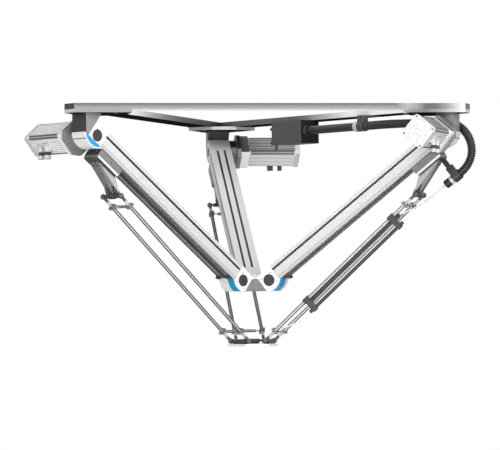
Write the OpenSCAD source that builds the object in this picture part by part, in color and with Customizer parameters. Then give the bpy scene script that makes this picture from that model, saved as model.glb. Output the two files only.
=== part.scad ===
// Delta robot with three inclined toothed-belt axes under a triangular frame.
// Origin at the centre of the frame's top face, +Z up, rear axis towards +Y.

/* [Frame] */
// Distance from the centre to the outer edge of a frame beam
frame_reach = 425; // [420:1:440]
// Width of a frame beam
beam_w = 95; // [80:1:100]
// Thickness of a frame beam
beam_t = 20; // [16:1:24]
// Distance from the centre to the cut-off corners
corner_r = 801; // [790:1:815]
// Thickness of the plates under the corners
plate_t = 12; // [8:1:16]
// Length of a corner plate along the outer edge
plate_len = 197; // [160:1:230]
// Radius of the circle through the first mounting hole of each corner
mount_r = 655; // [650:1:660]
// Radius of the circle through the second mounting hole of each corner
mount_r_b = 625; // [620:1:630]
// Angle from a corner's centre line to its mounting holes
mount_angle = 5.5; // [5:0.1:6]
// Diameter of the mounting holes
mount_hole_d = 14; // [10:0.5:16]

/* [Axes] */
// Distance from the centre to the lower pulley axle
foot_r = 76; // [76:1:80]
// Depth of the lower pulley axle below the frame's top
foot_depth = 603; // [590:1:610]
// Slope of the axes from the horizontal
axis_tilt = 37.8; // [36:0.1:39]
// Distance between the two pulley axles of an axis
pulley_gap = 806.6; // [800:0.1:812]
// Width of the axis profile
axis_w = 80; // [80:1:80]
// Height of the profile above the axle line
axis_top = 37; // [36:1:40]
// Depth of the profile below the axle line
axis_low = 22; // [22:1:24]
// Distance from an axle to the near end of the profile
head_in = 32; // [30:1:34]
// Distance from an axle to the outer end of its head
head_out = 30; // [28:1:31]

/* [Carriages] */
// Length of a carriage with its wipers
carriage_len = 112; // [100:1:116]
// Distance from the upper axle to the carriage's upper end
carriage_back = 42; // [40:1:60]
// Carriage thickness
carriage_t = 24; // [20:1:24]
// Distance along the axis from the lower axle to the upper ball bar
bar_s = 610; // [605:1:615]
// Depth of the upper ball bar below the axle line
bar_depth = 106; // [100:1:110]

/* [Rods] */
// Distance between the ball centres of a rod pair
ball_gap = 100; // [90:1:110]
// Radius of the ball studs
ball_r = 7.5; // [7:0.5:8]
// Diameter of the rods
rod_d = 13; // [10:0.5:16]
// Distance from the centre to the lower ball bars
low_r = 61.5; // [58:0.5:66]
// Depth of the lower ball centres below the frame's top
low_depth = 817; // [800:1:830]

/* [Motors] */
// Width of a motor across its flats
motor_w = 84; // [80:1:86]
// Length from the axis centre line to the motor's rear face
motor_reach = 305; // [280:1:320]
// Turn of the motors about their shafts
motor_turn = 39.3; // [30:0.1:50]

/* [Tool plate] */
// Distance from the centre to the plate's three long edges
plate_edge = 75; // [74:1:80]
// Thickness of the tool plate
tool_t = 9; // [8:1:12]
// Diameter of the centring bore
tool_bore_d = 31.5; // [25:0.5:40]
// Diameter of the tool bolt circle
tool_pcd = 50; // [50:1:56]

/* [Hose] */
// Outer diameter of the energy hose
hose_d = 31; // [24:1:31]
// Distance from the right axis plane to the hose
hose_t = 62; // [60:1:66]
// Radius of the hose loop at the right corner
loop_r = 98; // [90:1:105]

/* [Hidden] */

$fn = 64;
overlap = 0.01;
rear = 0;
left = 1;
right = 2;
arms = [rear, left, right];
sides = [-1, 1];

// Frame
beam_inner = frame_reach - beam_w;
plate_z = -beam_t - plate_t;
mitre_gap = 0.3;
corner_half = (2 * frame_reach - corner_r) / sqrt(3);
bracket_in = 696;
bracket_out = 760;
bracket_wall = 8;

// Axes, in a frame with X up the slope, Y across and Z towards the frame
foot_z = -foot_depth;
half_w = axis_w / 2;
axis_end = pulley_gap - head_in;
head_end = pulley_gap + head_out;
hub_z = foot_z - 38;
head_r = foot_r + pulley_gap * cos(axis_tilt);
head_z = foot_z + pulley_gap * sin(axis_tilt);
slot_gap = 13.4;
side_slot_h = 21;
tunnel_half = 14;
rail_t = 27;
rail_w = 9;
groove_w = 17;
groove_depth = 10;
belt_r = 18;
belt_t = 2.5;
belt_w = 25;
pulley_w = 28;
shaft_r = 6;
running_fit = 0.05;
cap_r = 21.1;
cap_t = 3;
belly_r = 62;
belly_half_w = 37.5;
cover_r = 58;

// Carriages
belt_gap = 0.5;
plate_top = -axis_low - 2.5;
plate_low = plate_top - carriage_t;
carriage_hi = pulley_gap - carriage_back;
carriage_lo = carriage_hi - carriage_len;
wiper_t = 6;
flange_t = 9;
flange_low = plate_low - flange_t;
top_r = foot_r + bar_s * cos(axis_tilt) + bar_depth * sin(axis_tilt);
top_z = foot_z + bar_s * sin(axis_tilt) - bar_depth * cos(axis_tilt);

// Rods, in a frame with X down the rod from the upper ball and Z outwards
rod_run = top_r - low_r;
rod_drop = low_depth + top_z;
rod_len = norm([rod_run, rod_drop]);
rod_slope = atan2(rod_drop, rod_run);
socket_r = 10;
rod_start = 42;
link_at = 52;
bar_r = 7;
bar_seat = 10.4;
sleeve_from = 118;
sleeve_to = 540;
sleeve_d = 13;
air_d = 5;

// Motors
housing_end = 64;
flange_end = 78;
front_end = 110;
cover_len = 18;

// Hose
hose_n = 302;
hose_z = -58.5;
hose_start = 30;
hanger_m = -259;
bend_r = 150;
box_in = 272;
box_out = 358;
box_from = 42;
box_to = 206;
box_low = -104;
sheet = 2;
hose_cross = (hose_t - hose_n * sin(60)) / cos(60);
bend_m = hose_cross + bend_r * tan(15);
bend_end_r = hose_n * cos(60) - hose_cross * cos(30) + bend_r * tan(15);
loop_centre_r = 698;
loop_centre_z = hose_z - loop_r;
loop_out_r = loop_centre_r + loop_r * sin(axis_tilt);
loop_out_z = loop_centre_z - loop_r * cos(axis_tilt);
tail_s = (loop_out_r - foot_r) * cos(axis_tilt) + (loop_out_z - foot_z) * sin(axis_tilt);
tail_h = (loop_out_z - foot_z) * cos(axis_tilt) - (loop_out_r - foot_r) * sin(axis_tilt);
hose_tip_s = 692;

// ---- placing ----

module on_arm(i) {
  rotate([0, 0, 90 + 120 * i]) children();
}

module on_axis(i) {
  on_arm(i) translate([foot_r, 0, foot_z]) rotate([0, -axis_tilt, 0]) children();
}

module on_rods(i) {
  on_arm(i) translate([top_r, 0, top_z]) rotate([0, 180 - rod_slope, 0]) children();
}

module on_motor(i) {
  on_arm(i) translate([head_r, 0, head_z]) rotate([0, motor_turn, 0]) children();
}

module on_beam(i) {
  rotate([0, 0, 270 + 120 * i]) children();
}

// A flat shape in X and Z, drawn out along Y
module across(from, to) {
  translate([0, to, 0]) rotate([90, 0, 0]) linear_extrude(to - from) children();
}

// A flat shape in Y and Z, drawn out along X
module along(from, to) {
  translate([from, 0, 0]) rotate([90, 0, 90]) linear_extrude(to - from) children();
}

module pin(r, from, to) {
  translate([0, from, 0]) rotate([-90, 0, 0]) cylinder(r = r, h = to - from);
}

module block(from, to) {
  translate(from) cube(to - from);
}

module soft_square(w, r) {
  for (q = [0:3]) rotate(90 * q) translate([w / 2 - r, w / 2 - r]) circle(r);
  square([w, w - 2 * r], center = true);
  square([w - 2 * r, w], center = true);
}

// ---- frame ----

module mount_holes(i, depth) {
  for (a = sides)
    on_arm(i) rotate([0, 0, a * mount_angle])
      translate([a > 0 ? mount_r : mount_r_b, 0, -depth - 1])
        cylinder(d = mount_hole_d, h = depth + 2);
}

module frame_beams() {
  color("silver") for (b = [0:2]) difference() {
    on_beam(b) translate([0, 0, -beam_t]) linear_extrude(beam_t) polygon([
      [beam_inner, -beam_inner * tan(60)], [corner_r * cos(60), -corner_r * sin(60)],
      [frame_reach, -(corner_r - frame_reach * cos(60)) / sin(60)],
      [frame_reach, (corner_r - frame_reach * cos(60)) / sin(60)],
      [corner_r * cos(60), corner_r * sin(60)], [beam_inner, beam_inner * tan(60)]
    ]);
    for (i = arms) {
      mount_holes(i, beam_t);
      on_arm(i) block([0, -mitre_gap / 2, -beam_t - 1], [frame_reach * 2, mitre_gap / 2, 1]);
    }
  }
}

module corner_plates() {
  outer_end = [corner_r - plate_len * cos(30), corner_half + plate_len * sin(30)];
  inner_end = outer_end - beam_w * [sin(30), cos(30)];
  color("silver") for (i = arms) difference() {
    on_arm(i) translate([0, 0, plate_z]) linear_extrude(plate_t) polygon([
      [corner_r, -corner_half], [corner_r, corner_half], outer_end, inner_end,
      [inner_end[0], -inner_end[1]], [outer_end[0], -outer_end[1]]
    ]);
    mount_holes(i, -plate_z);
  }
}

// A welded seat between the corner plate and the sloping end of the drive head
module corner_brackets() {
  inner = axis_point(head_end, axis_top);
  low = axis_point(head_end, (foot_r + head_end * cos(axis_tilt) - bracket_out) / sin(axis_tilt));
  wall_in = axis_point(head_end + bracket_wall, axis_top - 7);
  wall_low = [bracket_out - bracket_wall,
    wall_in[1] - (bracket_out - bracket_wall - wall_in[0]) / tan(axis_tilt)];
  color("gray") for (i = arms) difference() {
    on_arm(i) across(-half_w, half_w)
      polygon([[bracket_in, plate_z], [bracket_out, plate_z], low, inner]);
    on_arm(i) across(-half_w + bracket_wall, half_w - bracket_wall) polygon([
      [bracket_in + bracket_wall + 2, plate_z + 1], [bracket_out - bracket_wall, plate_z + 1],
      wall_low, wall_in
    ]);
    on_axis(i) translate([pulley_gap, 0, 0]) across(-half_w - 1, half_w + 1)
      belly_section(belly_r + 0.3, 0.3, 60);
  }
}

// Radius and height of a point given in an axis frame
function axis_point(s, h) = [
  foot_r + s * cos(axis_tilt) - h * sin(axis_tilt),
  foot_z + s * sin(axis_tilt) + h * cos(axis_tilt)
];

// ---- axes ----

module tee_slot() {
  translate([-4, -4]) square([8, 5]);
  translate([-7, -8]) square([14, 4.5]);
}

module profile_section() {
  difference() {
    translate([-half_w, -axis_low]) square([axis_w, axis_top + axis_low]);
    for (a = sides) {
      translate([a * slot_gap, axis_top]) tee_slot();
      translate([a * half_w, side_slot_h]) rotate(-90 * a) tee_slot();
      translate([a * rail_t - groove_w / 2, -axis_low - 1]) square([groove_w, groove_depth + 1]);
      translate([a * 25.5 - 6.5, -5]) square([13, 15]);
    }
    translate([-tunnel_half, -axis_low - 1]) square([2 * tunnel_half, axis_low + 24]);
  }
}

module axis_profile(i) {
  color("gainsboro") on_axis(i) along(head_in, axis_end) profile_section();
}

module guide_rails() {
  color("dimgray") for (i = arms, a = sides) on_axis(i) along(head_in + 1, axis_end - 1)
    translate([a * rail_t, -axis_low + groove_depth]) polygon([
      [-rail_w / 2, 0], [-rail_w / 2, -3], [-rail_w / 2 + 1.5, -4.5], [-rail_w / 2, -6],
      [-rail_w / 2, -8], [rail_w / 2, -8], [rail_w / 2, -6], [rail_w / 2 - 1.5, -4.5],
      [rail_w / 2, -3], [rail_w / 2, 0]
    ]);
}

// The arc below a head, cut off at its underside and at its outer end
module belly_section(r, rise, reach) {
  intersection() {
    translate([3, 20]) circle(r = r, $fn = 128);
    translate([-60, -60]) square([60 + reach, 60 - axis_low + rise]);
  }
}

module below_hub() {
  translate([0, 0, hub_z - 50]) cylinder(r = 200, h = 50);
}

// The machined block that carries a pulley; dir is 1 at the motor end and -1 at the hub
module head_block(at, dir) {
  translate([at, 0, 0]) mirror([dir < 0 ? 1 : 0, 0, 0])
    across(-belly_half_w, belly_half_w)
      belly_section(belly_r, overlap, dir > 0 ? 60 : head_out);
  inner = at - dir * head_in;
  outer = at + dir * head_out;
  from = min(inner, outer);
  to = max(inner, outer);
  difference() {
    across(-half_w, half_w) translate([from, -axis_low]) square([to - from, axis_top + axis_low]);
    translate([at, 0, 0]) {
      pin(belt_r + belt_t + 4.5, -pulley_w / 2 - 1.5, pulley_w / 2 + 1.5);
      pin(shaft_r + running_fit, -half_w - 1, half_w + 1);
      pin(cap_r, half_w - cap_t, half_w + 1);
      if (dir < 0) pin(cap_r, -half_w - 1, -half_w + cap_t);
    }
    block([min(inner - dir, at), -pulley_w / 2 - 1.5, -axis_low - 1],
      [max(inner - dir, at), pulley_w / 2 + 1.5, belt_r + belt_t + 4.5]);
  }
}

module drive_head(i) {
  color("gainsboro") on_axis(i) difference() {
    head_block(pulley_gap, 1);
    translate([head_end, 0, axis_top]) rotate([0, 45, 0])
      block([-3, -half_w - 1, -half_w], [3, half_w + 1, half_w]);
  }
}

module tail_head(i) {
  color("gainsboro") difference() {
    on_axis(i) head_block(0, -1);
    below_hub();
  }
}

// The three-sided core that the lower ends of the axes are bolted to
module centre_hub() {
  color("gray") difference() {
    rotate([0, 0, 90]) translate([0, 0, hub_z]) cylinder(r = 132, h = 60, $fn = 3);
    for (i = arms) on_axis(i)
      block([-head_out, -150, -150], [200, 150, 150]);
    translate([0, 0, hub_z - 1]) cylinder(r = 20, h = 24);
  }
}

// Blue crescent plates on both sides of each rounded belly
module head_covers() {
  color("dodgerblue") for (i = arms, a = sides) {
    from = a > 0 ? belly_half_w : -half_w;
    to = a > 0 ? half_w : -belly_half_w;
    on_axis(i) translate([pulley_gap, 0, 0]) across(from, to)
      belly_section(cover_r, 0, 60);
    difference() {
      on_axis(i) mirror([1, 0, 0]) across(from, to) belly_section(cover_r, 0, head_out);
      below_hub();
    }
  }
}

module bearing_caps() {
  color("dimgray") for (i = arms) on_axis(i) {
    translate([pulley_gap, 0, 0]) pin(cap_r, half_w - cap_t, half_w - 0.5);
    pin(cap_r, half_w - cap_t, half_w - 0.5);
    pin(cap_r, -half_w + 0.5, -half_w + cap_t);
  }
}

// Rubber stops at the lower end of the travel
module end_buffers() {
  color("black") for (i = arms, a = sides) on_axis(i)
    block([48, a * rail_t - 10, -axis_low - 9], [58, a * rail_t + 10, -axis_low]);
}

module belt_loop(grow) {
  translate([0, 0]) circle(r = belt_r + grow);
  translate([pulley_gap, 0]) circle(r = belt_r + grow);
  translate([0, -belt_r - grow]) square([pulley_gap, 2 * (belt_r + grow)]);
}

module drive_belts() {
  color("black") for (i = arms) on_axis(i) across(-belt_w / 2, belt_w / 2) difference() {
    belt_loop(belt_t);
    belt_loop(0);
  }
}

// A toothed belt pulley with its two flanges on its shaft
module pulley(shaft_from, shaft_to) {
  teeth = 22;
  difference() {
    pin(belt_r - 0.4, -belt_w / 2, belt_w / 2);
    for (k = [0:teeth - 1]) rotate([0, 360 / teeth * k, 0])
      translate([belt_r + 0.4, 0, 0]) pin(1.7, -belt_w / 2 - 1, belt_w / 2 + 1);
  }
  for (a = sides) mirror([0, a < 0 ? 1 : 0, 0])
    pin(belt_r - 2.5, belt_w / 2 - overlap, pulley_w / 2);
  pin(shaft_r, shaft_from, shaft_to);
}

module drive_pulley(i) {
  color("darkgray") on_axis(i) translate([pulley_gap, 0, 0]) {
    pulley(-44, half_w - cap_t - 1);
    pin(17, -68, -44);
  }
}

module tail_pulley(i) {
  color("darkgray") on_axis(i) pulley(-half_w + cap_t + 1, half_w - cap_t - 1);
}

// ---- motors ----

module coupling_housings() {
  color("lightgray") for (i = arms) difference() {
    union() {
      on_axis(i) translate([pulley_gap, 0, 0]) across(-housing_end, -half_w) soft_square(74, 22);
      on_motor(i) across(-flange_end, -housing_end + overlap) intersection() {
        square(110, center = true);
        rotate(45) square(126, center = true);
      }
    }
    on_axis(i) translate([pulley_gap, 0, 0]) pin(22, -flange_end - 1, -half_w + 1);
  }
}

module motor_section() {
  difference() {
    square(motor_w, center = true);
    for (q = [0:3]) rotate(90 * q) {
      rotate(45) translate([motor_w / sqrt(2) - 7, -7]) square([10, 14]);
      for (x = [-24:8:24]) translate([x - 1.2, motor_w / 2 - 2.5]) square([2.4, 3]);
    }
  }
}

module servo_motor(i) {
  back = -motor_reach + cover_len;
  color("whitesmoke") on_motor(i) {
    across(-front_end, -flange_end) soft_square(motor_w + 6, 8);
    across(back, -front_end) motor_section();
    translate([0, -flange_end, 0]) pin(21.5, -overlap, 6);
  }
}

module motor_covers() {
  back = -motor_reach + cover_len;
  color("lightgray") for (i = arms) on_motor(i) difference() {
    across(-motor_reach, back) soft_square(motor_w + 3, 10);
    for (x = sides, z = sides) translate([x * 35.5, 0, z * 35.5])
      pin(3, -motor_reach - 1, -motor_reach + 7);
  }
}

// Plug sockets on the lower outer face of a motor, hanging straight down
module motor_connectors() {
  color("dimgray") for (i = arms) on_motor(i) for (k = [0, 1]) {
    at = [-203, -240][k];
    r = [12, 9][k];
    block([motor_w / 2, at - r - 2, -r - 2], [motor_w / 2 + 7, at + r + 2, r + 2]);
    difference() {
      translate([motor_w / 2 - 6, at, 8]) rotate([0, 90 + 90 - motor_turn, 0]) difference() {
        cylinder(r = r, h = 54);
        translate([0, 0, 48]) cylinder(r = r - 2.5, h = 7);
      }
      block([-motor_w, at - 20, -motor_w], [motor_w / 2 + 6.99, at + 20, motor_w]);
    }
  }
}

// ---- hose holders and hose ----

// A closed sheet box under the beam; the hose enters through a collar in one end
module hose_box() {
  color("dimgray") on_beam(1) difference() {
    union() {
      difference() {
        block([box_in, box_from, box_low], [box_out, box_to, -beam_t]);
        block([box_in + sheet, box_from + sheet, box_low + sheet],
          [box_out - sheet, box_to - sheet, -beam_t - sheet]);
      }
      translate([hose_n, 0, hose_z]) pin(19, hose_start, box_from + sheet);
    }
    translate([hose_n, 0, hose_z]) pin(hose_d / 2 - 3, hose_start - 1, box_from + sheet + 1);
  }
}

// A strap under the beam with a ring round the hose
module hose_hanger() {
  color("dimgray") on_beam(1) difference() {
    union() {
      block([hose_n - 12, hanger_m - 16, -beam_t - 3],
        [beam_inner + 42, hanger_m + 16, -beam_t]);
      block([hose_n - 12, hanger_m - 16, hose_z], [hose_n + 12, hanger_m + 16, -beam_t - 2]);
      translate([hose_n, 0, hose_z]) pin(19, hanger_m - 16, hanger_m + 16);
    }
    translate([hose_n, 0, hose_z]) pin(hose_d / 2, hanger_m - 17, hanger_m + 17);
    for (x = [12, 30]) translate([beam_inner + x, hanger_m, -beam_t - 4])
      cylinder(d = 5.5, h = 5);
  }
}

function unit(v) = v / norm(v);

function heading(path, i) =
  unit(path[min(i + 1, len(path) - 1)] - path[max(i - 1, 0)]);

// A round tube along a path; cross_dir is never in line with the path
module tube(path, d, cross_dir, edges) {
  count = len(path);
  points = [
    for (i = [0:count - 1])
      let (ahead = heading(path, i), u = unit(cross(cross_dir, ahead)), v = cross(ahead, u))
        for (k = [0:edges - 1])
          path[i] + d / 2 * (cos(360 / edges * k) * u + sin(360 / edges * k) * v)
  ];
  near_end = [for (k = [0:edges - 1]) k];
  far_end = [for (k = [edges - 1:-1:0]) (count - 1) * edges + k];
  walls = [
    for (i = [0:count - 2], k = [0:edges - 1])
      let (a = i * edges + k, b = i * edges + (k + 1) % edges)
        each [[a, a + edges, b + edges], [a, b + edges, b]]
  ];
  polyhedron(points, concat([near_end, far_end], walls));
}

// A place beside the right-hand beam, in the right arm's frame
function beside_beam(m) = [
  hose_n * cos(60) - m * cos(30), hose_n * sin(60) + m * sin(30), hose_z
];

// The hose runs along the beam, turns into the right axis plane and loops to the carriage
hose_path = concat(
  [for (k = [0:5]) beside_beam(hose_start + (bend_m - hose_start) * k / 5)],
  [for (a = [6:6:30]) [
    bend_end_r - bend_r * sin(30 - a), hose_t + bend_r * (1 - cos(30 - a)), hose_z
  ]],
  [[loop_centre_r - 40, hose_t, hose_z]],
  [for (k = [0:16]) let (a = 90 - k * (180 - axis_tilt) / 16) [
    loop_centre_r + loop_r * cos(a), hose_t, loop_centre_z + loop_r * sin(a)
  ]],
  [for (s = [tail_s - 24, hose_tip_s]) let (p = axis_point(s, tail_h)) [p[0], hose_t, p[1]]]
);

module energy_hose() {
  color("black") on_arm(right) tube(hose_path, hose_d, [0, 1, 0], 16);
}

// ---- carriages ----

module carriage(i) {
  lip_h = -axis_low + groove_depth - 2;
  color("gray") on_axis(i) {
    block([carriage_lo + wiper_t, -half_w, plate_low], [carriage_hi - wiper_t, half_w, plate_top]);
    for (a = sides, b = sides) {
      lip = a * rail_t + b * (rail_w / 2 + 1.7);
      block([carriage_lo + wiper_t, lip - 1.2, plate_top - 1],
        [carriage_hi - wiper_t, lip + 1.2, lip_h]);
    }
    block([carriage_lo + 30, -11, plate_top - 1], [carriage_hi - 30, 11, -belt_r - belt_t - belt_gap]);
    for (x = [carriage_lo, carriage_hi - wiper_t])
      block([x, -half_w + 1, plate_low + 1], [x + wiper_t, half_w - 1, plate_top]);
  }
}

// Outer shape of the tapered bracket between the carriage and the ball bar
module bracket_shape(i) {
  on_axis(i) difference() {
    intersection() {
      across(-half_w, half_w) polygon([
        [carriage_hi - 6, flange_low], [carriage_lo + 3, flange_low],
        [bar_s - 11, -bar_depth + 12], [bar_s + 8, -bar_depth + 1]
      ]);
      along(0, carriage_hi) polygon([
        [-24, flange_low + 1], [-14, -bar_depth + 1], [14, -bar_depth + 1], [24, flange_low + 1]
      ]);
    }
    across(-half_w, half_w) translate([bar_s, -bar_depth]) circle(r = bar_r + 3.05);
  }
}

// The dark clamp at the bracket's lower end, pointed on its faces and rising inwards
module clamp_zone(i) {
  on_arm(i) {
    translate([top_r - 60, 0, top_z]) rotate([90, 0, 90]) linear_extrude(100)
      polygon([[-20, -20], [20, -20], [15, 5], [0, 44], [-15, 5]]);
    across(-30, 30) translate([top_r, top_z])
      polygon([[-40, -20], [20, -20], [6, 6], [0, 48], [-40, 40]]);
  }
}

module carriage_bracket(i) {
  hi = carriage_hi - 2;
  lo = carriage_lo + 3;
  color("gray") {
    on_axis(i) block([lo, -half_w, flange_low], [hi, half_w, plate_low]);
    difference() {
      bracket_shape(i);
      on_axis(i) across(-9, 9) polygon([
        [hi - 34, flange_low - 8], [lo - 20, flange_low - 8], [bar_s - 20, -bar_depth + 24],
        [bar_s + 12, -bar_depth + 16]
      ]);
      clamp_zone(i);
    }
  }
}

// A bar with a ball at each end, in the arm direction
module ball_bar(reach) {
  pin(bar_r, -reach, reach);
  pin(ball_r / 2, -ball_gap / 2, ball_gap / 2);
  for (a = sides) translate([0, a * ball_gap / 2, 0]) sphere(r = ball_r);
}

module upper_ball_bar(i) {
  color("black") {
    on_axis(i) translate([bar_s, 0, -bar_depth]) {
      ball_bar(36);
      pin(bar_r + 3.1, -15, 15);
    }
    intersection() {
      bracket_shape(i);
      clamp_zone(i);
    }
  }
}

module lower_ball_bar(i, lift) {
  color("black") on_arm(i) translate([low_r, 0, -low_depth]) {
    ball_bar(34);
    block([-8, -30, -bar_seat - 0.3 + lift], [8, 30, 0]);
  }
}

module hose_clamp() {
  s = 744;
  color("black") on_axis(right) difference() {
    union() {
      translate([0, hose_t, tail_h]) rotate([0, 90, 0]) translate([0, 0, s - 14])
        cylinder(r = 19.5, h = 28);
      block([s - 14, half_w + 2, tail_h], [s + 14, half_w + 16, tail_h + 40]);
      block([s - 9, half_w, tail_h + 30], [s + 9, half_w + 5, plate_low + 10]);
    }
    translate([s - 20, hose_t, tail_h]) rotate([0, 90, 0]) cylinder(d = hose_d, h = 40);
  }
}

// ---- rods ----

module rods(i) {
  color("gray") on_rods(i) for (a = sides)
    translate([rod_start, a * ball_gap / 2, 0]) rotate([0, 90, 0])
      cylinder(d = rod_d, h = rod_len - 2 * rod_start);
}

// A plastic ball socket on a threaded stem
module rod_end() {
  difference() {
    union() {
      sphere(r = socket_r);
      rotate([0, 90, 0]) cylinder(r = 5.5, h = 22);
      rotate([0, 90, 0]) cylinder(r = 3.5, h = rod_start);
    }
    sphere(r = ball_r + running_fit);
    pin(6, -20, 0);
  }
}

module rod_ends(i) {
  color("silver") on_rods(i) for (a = sides)
    translate([0, a * ball_gap / 2, 0]) mirror([0, a < 0 ? 1 : 0, 0]) {
      rod_end();
      translate([rod_len, 0, 0]) mirror([1, 0, 0]) rod_end();
    }
}

// Spring tubes that pull the two rods of a pair onto their balls
module spring_links(i) {
  color("dimgray") on_rods(i) for (x = [link_at, rod_len - link_at]) translate([x, 0, 0]) {
    pin(5, -27, 27);
    pin(2, -ball_gap / 2 + rod_d / 2, ball_gap / 2 - rod_d / 2);
    for (a = sides) translate([0, a * ball_gap / 2, 0]) difference() {
      block([-4, -rod_d / 2 - 3, -12], [4, rod_d / 2 + 3, 12]);
      rotate([0, 90, 0]) translate([0, 0, -5]) cylinder(d = rod_d, h = 10);
    }
  }
}

module air_sleeves() {
  color("black") on_rods(right) for (at = [[-ball_gap / 2, 40], [-8, 0]])
    translate([sleeve_from - 20, at[0], at[1]]) rotate([0, 90, 0])
      cylinder(d = sleeve_d, h = sleeve_to - sleeve_from + 40);
}

// Thin air line from the hose end to the sleeve between the rods, in the right arm's frame
air_path = [
  [700, 62, -279], [680, 58, -294], [655, 46, -318], [625, 28, -343], [598, 12, -359],
  [575, 0, -371], [562, -6, -376], [553, -7.7, -378]
];
// Slack end of the air line below the lower clamp, in the rods' frame
slack_path = [
  [560, -50, 40], [585, -50, 43], [612, -50, 39], [640, -50, 28], [665, -50, 16],
  [690, -50, 9.8]
];

module air_tube_upper() {
  color("whitesmoke") on_arm(right) tube(air_path, air_d, [0, 0, 1], 8);
}

module air_tube_lower() {
  color("whitesmoke") on_rods(right) tube(slack_path, air_d, [0, 1, 0], 8);
}

module sleeve_clamps() {
  color("black") on_rods(right) for (x = [sleeve_from, sleeve_to])
    translate([x, 0, 0]) difference() {
      union() {
        block([-13, -ball_gap / 2 - 10, -9], [13, 2, 9]);
        block([-9, -ball_gap / 2 - 10, 0], [9, -ball_gap / 2 + 10, 49]);
      }
      rotate([0, 90, 0]) translate([0, 0, -20]) {
        translate([0, -ball_gap / 2, 0]) cylinder(d = rod_d + 0.1, h = 40);
        translate([0, -8, 0]) cylinder(d = sleeve_d + 0.1, h = 40);
        translate([-40, -ball_gap / 2, 0]) cylinder(d = sleeve_d + 0.1, h = 40);
      }
    }
}

// ---- tool plate ----

module tool_plate() {
  top = -low_depth - bar_seat - 0.3;
  color("black") difference() {
    translate([0, 0, top - tool_t]) intersection() {
      rotate([0, 0, 30]) cylinder(r = 2 * plate_edge, h = tool_t, $fn = 3);
      cylinder(r = plate_edge + 14, h = tool_t);
    }
    translate([0, 0, top - tool_t - 1]) cylinder(d = tool_bore_d, h = tool_t + 2);
    for (k = [0:3]) rotate([0, 0, 45 + 90 * k])
      translate([tool_pcd / 2, 0, top - tool_t - 1]) cylinder(d = 6.6, h = tool_t + 2);
  }
}

frame_beams();
corner_plates();
corner_brackets();
axis_profile(rear);  // axis_profile_rear
axis_profile(left);  // axis_profile_left
axis_profile(right);  // axis_profile_right
drive_head(rear);  // drive_head_rear
drive_head(left);  // drive_head_left
drive_head(right);  // drive_head_right
tail_head(rear);  // tail_head_rear
tail_head(left);  // tail_head_left
tail_head(right);  // tail_head_right
centre_hub();
head_covers();
bearing_caps();
end_buffers();
coupling_housings();
servo_motor(rear);  // servo_motor_rear
servo_motor(left);  // servo_motor_left
servo_motor(right);  // servo_motor_right
motor_covers();
motor_connectors();
drive_belts();
guide_rails();
hose_box();
hose_hanger();
energy_hose();
drive_pulley(rear);  // drive_pulley_rear
drive_pulley(left);  // drive_pulley_left
drive_pulley(right);  // drive_pulley_right
tail_pulley(rear);  // tail_pulley_rear
tail_pulley(left);  // tail_pulley_left
tail_pulley(right);  // tail_pulley_right
carriage(rear);  // carriage_rear
carriage(left);  // carriage_left
carriage(right);  // carriage_right
carriage_bracket(rear);  // carriage_bracket_rear
carriage_bracket(left);  // carriage_bracket_left
carriage_bracket(right);  // carriage_bracket_right
upper_ball_bar(rear);  // upper_ball_bar_rear
upper_ball_bar(left);  // upper_ball_bar_left
upper_ball_bar(right);  // upper_ball_bar_right
hose_clamp();
air_tube_upper();
rods(rear);  // rods_rear
rods(left);  // rods_left
rods(right);  // rods_right
rod_ends(rear);  // rod_ends_rear
rod_ends(left);  // rod_ends_left
rod_ends(right);  // rod_ends_right
spring_links(rear);  // spring_links_rear
spring_links(left);  // spring_links_left
spring_links(right);  // spring_links_right
air_sleeves();
sleeve_clamps();
air_tube_lower();
tool_plate();
lower_ball_bar(rear, 0);  // lower_ball_bar_rear
lower_ball_bar(left, 0.3);  // lower_ball_bar_left
lower_ball_bar(right, 0.3);  // lower_ball_bar_right
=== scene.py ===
import math

import bmesh
import bpy
from mathutils import Matrix, Vector


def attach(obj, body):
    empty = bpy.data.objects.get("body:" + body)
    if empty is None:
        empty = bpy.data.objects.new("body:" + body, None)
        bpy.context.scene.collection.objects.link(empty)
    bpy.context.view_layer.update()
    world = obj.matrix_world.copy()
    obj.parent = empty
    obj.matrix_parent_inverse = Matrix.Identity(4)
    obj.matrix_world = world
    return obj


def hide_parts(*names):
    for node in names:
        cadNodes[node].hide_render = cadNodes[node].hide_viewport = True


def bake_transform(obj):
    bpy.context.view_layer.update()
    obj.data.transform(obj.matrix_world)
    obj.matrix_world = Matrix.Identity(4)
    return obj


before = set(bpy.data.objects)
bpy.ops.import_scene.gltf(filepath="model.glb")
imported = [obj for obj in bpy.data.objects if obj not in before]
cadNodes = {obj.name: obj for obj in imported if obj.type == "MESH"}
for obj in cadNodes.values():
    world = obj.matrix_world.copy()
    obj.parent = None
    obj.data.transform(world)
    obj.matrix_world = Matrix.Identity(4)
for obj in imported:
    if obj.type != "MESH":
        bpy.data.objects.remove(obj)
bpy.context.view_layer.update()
scene = bpy.context.scene
print("frame loaded:", len(cadNodes), "nodes")

# ---- camera, floor and light ----

viewpoint = {
    "place": (-1.8545, -10.555, -0.6915),
    "aim": (-0.0022, 0.0269, -0.4049),
    "roll": -0.651,
    "lens": 217.13,
}


def makeCamera(look):
    data = bpy.data.cameras.new("camera")
    data.lens = look["lens"]
    data.sensor_width = 36
    data.clip_start = 0.1
    data.clip_end = 100
    camera = bpy.data.objects.new("camera", data)
    scene.collection.objects.link(camera)
    camera.location = look["place"]
    heading = Vector(look["aim"]) - Vector(look["place"])
    camera.rotation_mode = "QUATERNION"
    turn = heading.to_track_quat("-Z", "Y").to_matrix().to_4x4()
    camera.rotation_quaternion = (turn @ Matrix.Rotation(math.radians(look["roll"]), 4, "Z")).to_quaternion()
    scene.camera = camera


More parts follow.
